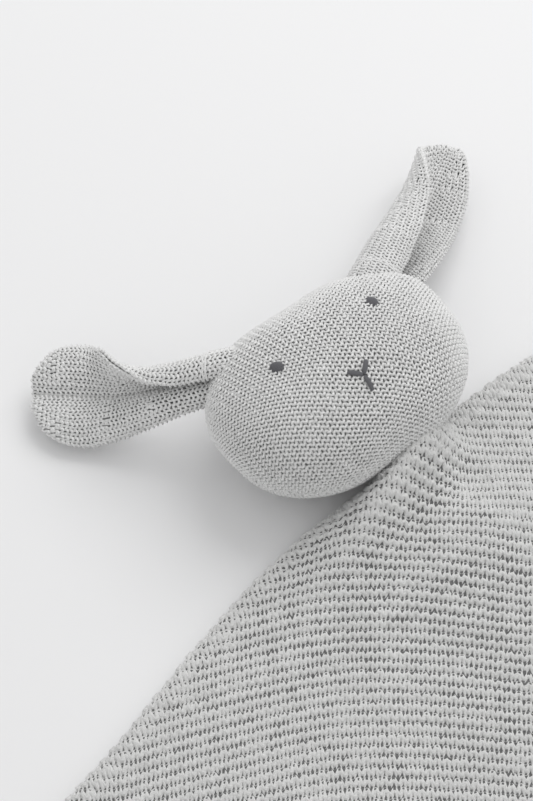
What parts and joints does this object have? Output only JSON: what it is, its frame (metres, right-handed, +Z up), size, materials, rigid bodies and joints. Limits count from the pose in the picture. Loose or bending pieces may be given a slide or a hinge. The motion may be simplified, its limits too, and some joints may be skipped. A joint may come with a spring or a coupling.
{
  "type": "knitted rabbit comforter",
  "caption": "Knitted rabbit comforter: a stuffed oval head with floppy cupped ears, sewn to the fold of a square knitted cloth.",
  "frame": {"origin": "on the resting surface, under the centre of the whole toy", "axes": "+X along the fold of the cloth towards the toy's left, +Y from the cloth to the head and ears, +Z up out of the face"},
  "size_m": [0.41, 0.3335, 0.054],
  "materials": {
    "blanket_knit": "garter-stitch cotton, pale grey",
    "head_knit": "fine reverse jersey, pale grey",
    "sewing_yarn": "matching grey yarn",
    "fibre_filling": "loose polyester fibre",
    "embroidery_thread": "charcoal satin stitch"
  },
  "bodies": {
    "blanket": {"blanket_lower_layer": "blanket_knit", "blanket_fold_strip": "blanket_knit", "neck_stitches": "sewing_yarn"},
    "top_corner": {"blanket_top_corner": "blanket_knit"},
    "head": {"head_front_panel": "head_knit", "head_back_panel": "head_knit", "head_side_seam": "sewing_yarn", "head_filling": "fibre_filling", "left_eye": "embroidery_thread", "right_eye": "embroidery_thread", "nose_left_stroke": "embroidery_thread", "nose_right_stroke": "embroidery_thread", "mouth_stroke": "embroidery_thread"},
    "left_ear": {"left_ear_front_panel": "head_knit", "left_ear_back_panel": "head_knit", "left_ear_tack": "sewing_yarn"},
    "right_ear": {"right_ear_front_panel": "head_knit", "right_ear_back_panel": "head_knit", "right_ear_tack": "sewing_yarn"}
  },
  "joints": [
    {"name": "head_lift", "type": "hinge", "parent": "blanket", "child": "head", "pos_m": [0.003, 0.04541, 0.0273], "axis": [1, 0, 0], "range_deg": [0, 60]},
    {"name": "left_ear_lift", "type": "hinge", "parent": "head", "child": "left_ear", "pos_m": [-0.02406, 0.11423, 0.034], "axis": [0.7869, 0.617, 0], "range_deg": [0, 70]},
    {"name": "right_ear_lift", "type": "hinge", "parent": "head", "child": "right_ear", "pos_m": [0.04287, 0.09965, 0.034], "axis": [0.3024, -0.9532, 0], "range_deg": [0, 70]},
    {"name": "top_corner_lift", "type": "hinge", "parent": "blanket", "child": "top_corner", "pos_m": [0, -0.00054, 0.0074], "axis": [-1, 0, 0], "range_deg": [0, 75]}
  ]
}
